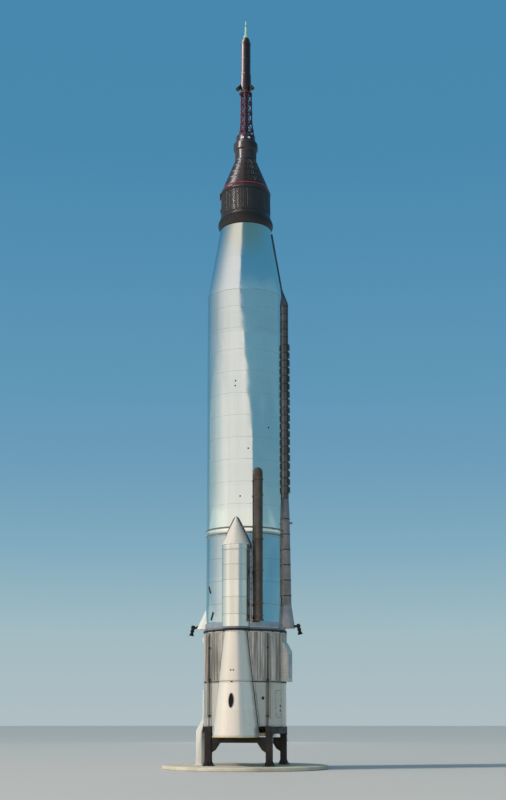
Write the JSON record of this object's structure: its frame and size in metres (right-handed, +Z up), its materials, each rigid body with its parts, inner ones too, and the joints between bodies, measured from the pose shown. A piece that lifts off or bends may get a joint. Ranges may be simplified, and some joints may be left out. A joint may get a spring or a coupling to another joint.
{
  "type": "display space rocket on a stand",
  "caption": "Full-size steel tank rocket with booster nacelles, manned capsule and escape tower, held up by a posted stand on a round plinth.",
  "frame": {"origin": "on the rocket's axis, at the underside of the plinth", "axes": "+Z up along the rocket, -Y towards the front nacelle, +X towards the equipment pod"},
  "size_m": [6.34, 6.34, 30.64],
  "materials": {
    "concrete": "weathered pale concrete",
    "steel_skin": "thin polished steel with seam welds",
    "nacelle_skin": "satin sheet metal",
    "dark_steel": "brown-black paint, matt",
    "white_paint": "white paint, dusty",
    "pipe_brown": "dark brown, satin",
    "pod_grey": "dark grey-blue, satin",
    "capsule_black": "ribbed charcoal-black metal, satin",
    "ring_red": "red band, satin",
    "tower_maroon": "dark maroon paint, glossy",
    "pale_green": "pale green-white paint",
    "engine_metal": "heat-tinted metal",
    "vernier_black": "black, matt"
  },
  "bodies": {
    "airframe": {"plinth": "concrete", "stand_side_left": "dark_steel", "stand_side_right": "dark_steel", "stand_cross_tie_front": "dark_steel", "stand_cross_tie_rear": "dark_steel", "side_column": "white_paint", "skirt_side_left": "steel_skin", "skirt_side_right": "steel_skin", "skirt_upper": "steel_skin", "nacelle_lower_front": "nacelle_skin", "nacelle_lower_rear": "nacelle_skin", "nacelle_middle_front": "nacelle_skin", "nacelle_middle_rear": "nacelle_skin", "nacelle_upper_front": "nacelle_skin", "nacelle_upper_rear": "nacelle_skin", "thrust_frame": "dark_steel", "sustainer_mount": "dark_steel", "aft_bulkhead": "steel_skin", "separation_ring": "dark_steel", "fuel_tank": "steel_skin", "stiffening_rings": "steel_skin", "oxidizer_tank": "steel_skin", "tank_taper": "steel_skin", "equipment_pod": "pod_grey", "cable_tunnel": "pod_grey", "booster_side_fairing": "pod_grey", "vernier_fairing_left": "white_paint", "vernier_fairing_right": "pod_grey", "oxygen_pipe": "pipe_brown", "adapter": "capsule_black", "capsule": "capsule_black", "capsule_ring": "ring_red", "recovery_section": "capsule_black", "antenna_canister": "capsule_black", "escape_tower": "tower_maroon", "escape_motor": "tower_maroon", "nose_spike": "pale_green"},
    "gimbal_front": {"gimbal_block_front": "dark_steel"},
    "engine_front": {"booster_engine_front": "engine_metal"},
    "gimbal_centre": {"gimbal_block_centre": "dark_steel"},
    "engine_centre": {"sustainer_engine": "engine_metal"},
    "gimbal_rear": {"gimbal_block_rear": "dark_steel"},
    "engine_rear": {"booster_engine_rear": "engine_metal"},
    "vernier_left": {"vernier_engine_left": "vernier_black"},
    "vernier_right": {"vernier_engine_right": "vernier_black"}
  },
  "joints": [
    {"name": "front_engine_pitch", "type": "hinge", "parent": "airframe", "child": "gimbal_front", "pos_m": [0, -1.62, 3.2], "axis": [1, 0, 0], "range_deg": [-5, 5]},
    {"name": "front_engine_yaw", "type": "hinge", "parent": "gimbal_front", "child": "engine_front", "pos_m": [0, -1.62, 3.2], "axis": [0, 1, 0], "range_deg": [-5, 5]},
    {"name": "sustainer_pitch", "type": "hinge", "parent": "airframe", "child": "gimbal_centre", "pos_m": [0, 0, 3.2], "axis": [1, 0, 0], "range_deg": [-3, 3]},
    {"name": "sustainer_yaw", "type": "hinge", "parent": "gimbal_centre", "child": "engine_centre", "pos_m": [0, 0, 3.2], "axis": [0, 1, 0], "range_deg": [-3, 3]},
    {"name": "rear_engine_pitch", "type": "hinge", "parent": "airframe", "child": "gimbal_rear", "pos_m": [0, 1.62, 3.2], "axis": [1, 0, 0], "range_deg": [-5, 5]},
    {"name": "rear_engine_yaw", "type": "hinge", "parent": "gimbal_rear", "child": "engine_rear", "pos_m": [0, 1.62, 3.2], "axis": [0, 1, 0], "range_deg": [-5, 5]},
    {"name": "left_vernier_swivel", "type": "hinge", "parent": "airframe", "child": "vernier_left", "pos_m": [-2.1, 0, 5.42], "axis": [1, 0, 0], "range_deg": [-70, 70]},
    {"name": "right_vernier_swivel", "type": "hinge", "parent": "airframe", "child": "vernier_right", "pos_m": [2.1, 0, 5.42], "axis": [1, 0, 0], "range_deg": [-70, 70]}
  ]
}
